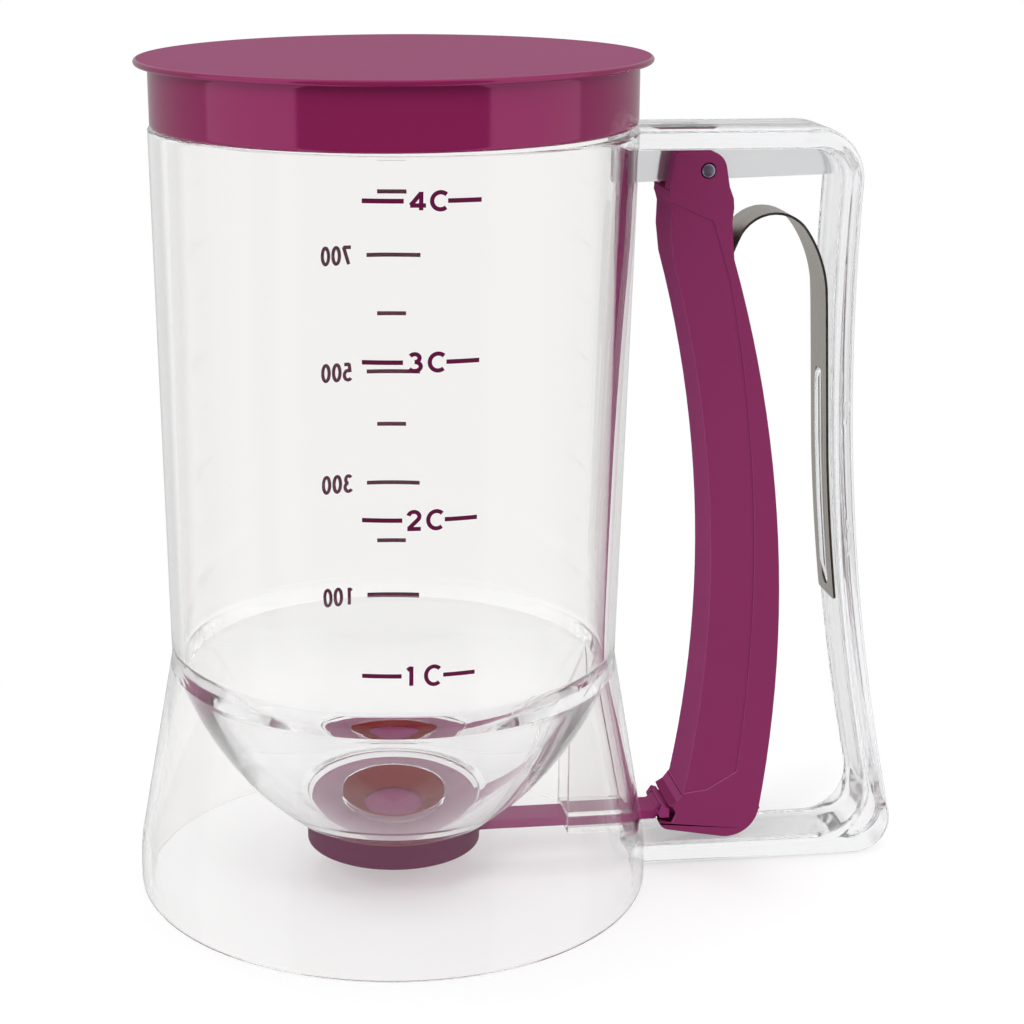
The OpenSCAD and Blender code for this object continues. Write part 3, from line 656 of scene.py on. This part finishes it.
loop_c, loop_r, shoulder_r = Vector((PIVOT[0] + 15.7, PIVOT[1] - 18.3)), 8.7, 28.3
shoulder_c = loop_c - (shoulder_r - loop_r) * direction(36.0)
line = [Vector((post_in(LEAF_LOW + HUG * i / 30) - LEAF_T / 2 - 0.3, LEAF_LOW + HUG * i / 30)) for i in range(31)]
line += [shoulder_c + shoulder_r * direction(a) for a in range(2, 37, 2)]
line += [loop_c + loop_r * direction(a) for a in range(39, 159, 3)]
tail = loop_c + loop_r * direction(TAIL_A)
line += [tail + TAIL * i / 12 * Vector((-sin(radians(TAIL_A)), cos(radians(TAIL_A)))) for i in range(13)]
run = [0.0]
for a, b in zip(line, line[1:]):
    run.append(run[-1] + (b - a).length)
for _ in range(3):               # evens out the joins between the arcs
    line = [line[0]] + [(line[i - 1] + 2 * line[i] + line[i + 1]) / 4 for i in range(1, len(line) - 1)] + [line[-1]]


def on_line(s):
    """Point and unit normal of the strip's middle line after a run of s."""
    k = max(0, min(len(run) - 2, next((i for i in range(len(run) - 1) if run[i + 1] >= s), len(run) - 2)))
    f = (s - run[k]) / max(run[k + 1] - run[k], 1e-9)
    at = line[k] * (1 - f) + line[k + 1] * f
    t0 = (line[k + 1] - line[max(k - 1, 0)]).normalized()
    t1 = (line[min(k + 2, len(line) - 1)] - line[k]).normalized()
    t = (t0 * (1 - f) + t1 * f).normalized()
    return at, Vector((-t.y, t.x))


# The strip is made flat, x along its run, y its thickness and z its width, and then laid along the line
length, half_w = run[-1], LEAF_W / 2
strip = rounded([(0, -half_w), (length, -half_w), (length, half_w), (0, half_w)], 0.8, 30)
leaf = prism("leaf_strip", dense(strip, LEAF_STEP), -LEAF_T / 2, LEAF_T / 2)
cuts = bmesh.new()
cuts.from_mesh(leaf.data)
for i in range(1, int(length / LEAF_STEP)):
    geom = list(cuts.verts) + list(cuts.edges) + list(cuts.faces)
    bmesh.ops.bisect_plane(cuts, geom=geom, plane_co=(i * LEAF_STEP * MM + 0.0001, 0, 0), plane_no=(1, 0, 0))
cuts.to_mesh(leaf.data)
cuts.free()
s0, s1 = SLIT_LOW - LEAF_LOW, SLIT_TOP - LEAF_LOW
slit = arc(s0 + SLIT_R, 0, SLIT_R, 270, 90, 14) + arc(s1 - SLIT_R, 0, SLIT_R, 90, -90, 14)
boolean(leaf, prism("slit", slit, -2, 2), "DIFFERENCE")
leaf.data.materials.append(leaf_face)
leaf.data.materials.append(leaf_edge)
for p in leaf.data.polygons:
    p.material_index = 0 if abs(p.normal.y) > 0.7 else 1
for v in leaf.data.vertices:
    at, side = on_line(v.co.x / MM)
    p = at + side * (v.co.y / MM)
    v.co = Vector((p.x * MM, v.co.z, p.y * MM))
leaf.data.update()
outward(leaf)
smooth(leaf, 40)
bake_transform(leaf)
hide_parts("leaf_spring")

# ---------------------------------------------------------------- printed scales
def oval(x, z, half_w, half_h, angles):
    return [(x + half_w * cos(radians(a)), z + half_h * sin(radians(a))) for a in angles]


# strokes of each figure, in a box 1 high
FIGURES = {"0": [oval(0.28, 0.5, 0.235, 0.45, range(0, 361, 15))],
           "C": [oval(0.46, 0.5, 0.42, 0.45, range(46, 315, 12))],
           "1": [[(0.06, 0.80), (0.25, 0.94)], [(0.25, 0.985), (0.25, 0.015)]],
           "2": [oval(0.28, 0.70, 0.235, 0.245, range(170, -41, -15)) + [(0.06, 0.08)], [(0.0, 0.055), (0.58, 0.055)]],
           "3": [oval(0.25, 0.735, 0.20, 0.21, range(150, -91, -15)),
                 oval(0.25, 0.29, 0.25, 0.24, range(90, -151, -15))],
           "4": [[(0.44, 0.985), (0.44, 0.015)], [(0.44, 0.93), (0.05, 0.28)], [(0.03, 0.27), (0.62, 0.27)]],
           "5": [[(0.52, 0.945), (0.13, 0.945)], [(0.17, 0.98), (0.10, 0.50)],
                 oval(0.25, 0.33, 0.265, 0.27, range(128, -146, -15))],
           "7": [[(0.02, 0.945), (0.56, 0.945)], [(0.54, 0.97), (0.18, 0.015)]]}
WIDE = {"4": 1.2, "C": 0.92, "3": 1.12, "2": 1.08, "1": 1.0}   # the front figures are set wider
FRONT, BACK, BACK_SHORT = -90, 83.2, 83.7                      # where the scales stand round the cup, in degrees
FRONT_W, BACK_W, BACK_H, BACK_PITCH = 4.3, 3.5, 4.3, 2.75      # sizes of the figures and their step behind
WEIGHT, LINE, PROUD, STRIDE = 0.85, 0.98, 0.05, 0.7            # widths, height above the wall, longest piece
ink_verts, ink_faces = [], []


def cup_r(z):
    """The cup's outer radius at a height above the waist."""
    return WAIST_R + 0.04 + (TOP_R - WAIST_R - 0.04) * (z - JOIN_TOP) / (SHOULDER - 0.4 - JOIN_TOP)


def stroke(points, width, angle0):
    """A ribbon along (run, z) points, laid on the cup's wall. run is 0 at angle0, to the reader's right."""
    pts = [Vector(points[0])]
    for a, b in zip(points, points[1:]):
        a, b = Vector(a), Vector(b)
        k = max(1, math.ceil((b - a).length / STRIDE))
        pts += [a + (b - a) * j / k for j in range(1, k + 1)]
    base = len(ink_verts)
    for i, p in enumerate(pts):
        t = (pts[min(i + 1, len(pts) - 1)] - pts[max(i - 1, 0)]).normalized()
        side = Vector((-t.y, t.x)) * width / 2
        for q in (p + side, p - side):
            r = cup_r(q.y) + PROUD if q.y > JOIN_TOP else WAIST_R + 0.1
            th = radians(angle0) + q.x / r
            ink_verts.append((r * cos(th), r * sin(th), q.y))
    ink_faces.extend([base + 2 * i, base + 2 * i + 1, base + 2 * i + 3, base + 2 * i + 2] for i in range(len(pts) - 1))


def figure(ch, x, z, width, height, angle0):
    """A figure with its left edge at x and its middle at z."""
    for points in FIGURES[ch]:
        stroke([(x + u * width, z + (v - 0.5) * height) for u, v in points], WEIGHT, angle0)


# Front scale: number, height of its line, height of the figures, left edges of the number and of the C
for n, z, tall, at, at_c in ((4, 161.4, 3.65, -3.45, 0.75), (3, 129.95, 3.75, -3.45, 0.55),
                             (2, 97.85, 4.0, -3.5, 0.5), (1, 64.8, 4.3, -3.6, 0.3)):
    stroke([(-12.5, z), (-4.5, z)], 0.92, FRONT)
    figure(str(n), at, z, FRONT_W * WIDE[str(n)], tall, FRONT)
    figure("C", at_c, z, FRONT_W * WIDE["C"], tall, FRONT)
    stroke([(4.0, z), (10.7, z)], 0.9, FRONT)
# Back scale, seen through the cup: long lines with a number in hundreds, short lines between them
for n, z in ((7, 134.05), (5, 106.1), (3, 78.7), (1, 50.1)):
    stroke([(-6.6, z), (6.6, z)], LINE, BACK)
    for k, ch in enumerate(f"{n}00"):
        figure(ch, 10.4 + BACK_PITCH * k, z, BACK_W, BACK_H, BACK)
for z in (148.9, 120.1, 93.2, 64.1):
    stroke([(-3.6, z), (3.6, z)], LINE, BACK_SHORT)
marks = mesh_from("scale_print", ink_verts, ink_faces)
marks.data.materials.append(ink)
smooth(marks, 60)
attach(marks, "vessel")

# ---------------------------------------------------------------- floor, world, lamps
# The ground takes shadows near the object and fades into the white of the room round it
GROUND, GROUND_LIFT, FADE_IN, FADE_OUT = (0.8, 0.8, 0.8, 1), 0.36, 0.12, 0.16
fm, nt, p, out = nodes_of("floor")
nt.nodes.remove(p)
path = nt.nodes.new("ShaderNodeLightPath")
seen = calc(nt, "MAXIMUM", path.outputs["Is Camera Ray"],
            calc(nt, "MAXIMUM", path.outputs["Is Glossy Ray"], path.outputs["Is Transmission Ray"]))
pale = nt.nodes.new("ShaderNodeBsdfDiffuse")
pale.inputs["Color"].default_value = GROUND
glow = nt.nodes.new("ShaderNodeEmission")
nt.links.new(calc(nt, "MULTIPLY", seen, GROUND_LIFT), glow.inputs["Strength"])
both = nt.nodes.new("ShaderNodeAddShader")
nt.links.new(pale.outputs[0], both.inputs[0])
nt.links.new(glow.outputs[0], both.inputs[1])
white = nt.nodes.new("ShaderNodeEmission")
nt.links.new(calc(nt, "ADD", calc(nt, "MULTIPLY", seen, 0.3), 0.7), white.inputs["Strength"])
co = nt.nodes.new("ShaderNodeTexCoord")
far = nt.nodes.new("ShaderNodeVectorMath")
far.operation = "LENGTH"
nt.links.new(co.outputs["Object"], far.inputs[0])
mix = nt.nodes.new("ShaderNodeMixShader")
nt.links.new(ramp(nt, far.outputs["Value"], 0, 1, FADE_IN, FADE_OUT), mix.inputs["Fac"])
nt.links.new(both.outputs[0], mix.inputs[1])
nt.links.new(white.outputs[0], mix.inputs[2])
nt.links.new(mix.outputs[0], out.inputs["Surface"])
floor = lathe("floor", [(0, 0), (60, 0), (120, 0), (160, 0), (165, 0)], 96, closed=False)
if floor.data.polygons[0].normal.z < 0:
    floor.data.flip_normals()
floor.location.z = -0.0001
floor.data.materials.append(fm)
floor.visible_glossy = False     # mirror images show the room's cards there

# The room is white to the camera. Refraction and mirror images see brighter and darker cards round it
world = bpy.data.worlds.new("studio")
scene.world = world
world.use_nodes = True
nt = world.node_tree
bg = nt.nodes["Background"]
path = nt.nodes.new("ShaderNodeLightPath")
co = nt.nodes.new("ShaderNodeTexCoord")
sep = nt.nodes.new("ShaderNodeSeparateXYZ")
nt.links.new(co.outputs["Generated"], sep.inputs[0])
VIEW_AZ, FRONT_SHIFT = radians(90 - 5.536), radians(2.06)   # the line of sight about Z, the front cards' shift


def away(nt, azimuth):
    """0 for an azimuth of 0, up to 1 for the opposite one, on either side."""
    return calc(nt, "DIVIDE", calc(nt, "ARCCOSINE", calc(nt, "COSINE", azimuth, 0), 0), pi)


az = calc(nt, "SUBTRACT", calc(nt, "ARCTAN2", sep.outputs["Y"], sep.outputs["X"]), VIEW_AZ)
turn, turn_front = away(nt, az), away(nt, calc(nt, "ADD", az, FRONT_SHIFT))


def cards(nt, turn, stops):
    """Brightness round the room: (degrees from straight ahead, level) pairs, joined by straight slopes."""
    r = nt.nodes.new("ShaderNodeValToRGB")
    el = r.color_ramp.elements
    while len(el) > 1:
        el.remove(el[-1])
    for k, (deg, level) in enumerate(stops):
        e = el[0] if k == 0 else el.new(deg / 180)
        e.position, e.color = deg / 180, (level, level, level, 1)
    nt.links.new(turn, r.inputs["Fac"])
    return r.outputs["Color"]


def lifted(level, high, low_z, high_z):
    """The level near the horizon, and another one overhead, with a slope between two heights."""
    f = ramp(nt, sep.outputs["Z"], 0, 1, low_z, high_z)
    near = calc(nt, "MULTIPLY", level, calc(nt, "SUBTRACT", 1.0, f))
    return calc(nt, "ADD", near, calc(nt, "MULTIPLY", f, high))


# (degrees from straight ahead, level) of the cards, and the level that lights the object from all sides
THROUGH = [(0, 1), (13, 1), (17, 0.85), (29, 0.8), (36, 1), (58, 1), (66, 0.66), (84, 0.66), (92, 0.95),
           (128, 0.95), (138, 0.85), (180, 0.85)]
MIRRORED = [(0, 0.48), (84.8, 0.48), (85.8, 1), (134.9, 1), (135.9, 0.15), (180, 0.15)]
AMBIENT = 0.48
through = lifted(cards(nt, turn, THROUGH), 1.0, 0.30, 0.45)
front = lifted(cards(nt, turn_front, MIRRORED), 0.8, 0.80, 0.95)
cam_ray, gloss = path.outputs["Is Camera Ray"], path.outputs["Is Glossy Ray"]
trans = path.outputs["Is Transmission Ray"]
mirrored = calc(nt, "MULTIPLY", gloss, calc(nt, "SUBTRACT", 1.0, trans))
in_glass = calc(nt, "ADD", calc(nt, "MULTIPLY", mirrored, front), calc(nt, "MULTIPLY", trans, through))
level = calc(nt, "ADD", cam_ray, in_glass)
sight = calc(nt, "MINIMUM", calc(nt, "ADD", cam_ray, calc(nt, "ADD", gloss, trans)), 1.0)
rest = calc(nt, "MULTIPLY", calc(nt, "SUBTRACT", 1.0, sight), AMBIENT)
nt.links.new(calc(nt, "ADD", level, rest), bg.inputs["Strength"])
bg.inputs["Color"].default_value = (1, 1, 1, 1)


def lamp(name, at, aim, size, power):
    """A soft rectangular lamp of that many watts, which shows in no mirror image."""
    data = bpy.data.lights.new(name, "AREA")
    data.shape, data.size, data.size_y, data.energy = "RECTANGLE", size[0], size[1], power
    ob = new_object(name, data)
    ob.location = at
    ob.rotation_euler = (Vector(aim) - Vector(at)).to_track_quat("-Z", "Y").to_euler()
    ob.visible_glossy = ob.visible_transmission = False


lamp("key", (-0.9, -1.0, 0.85), (0, 0, 0.08), (0.7, 0.9), 9)
lamp("fill", (1.1, -0.7, 0.6), (0.03, 0, 0.08), (0.6, 0.9), 5)
lamp("top", (0.05, 0.25, 1.4), (0.03, 0, 0), (1.0, 1.0), 5)

scene.view_settings.view_transform = "Standard"
scene.cycles.caustics_refractive = scene.cycles.caustics_reflective = False
# light is led far along inside the clear walls, from side to side
scene.cycles.max_bounces = scene.cycles.glossy_bounces = 64
scene.cycles.transmission_bounces = scene.cycles.transparent_max_bounces = 26
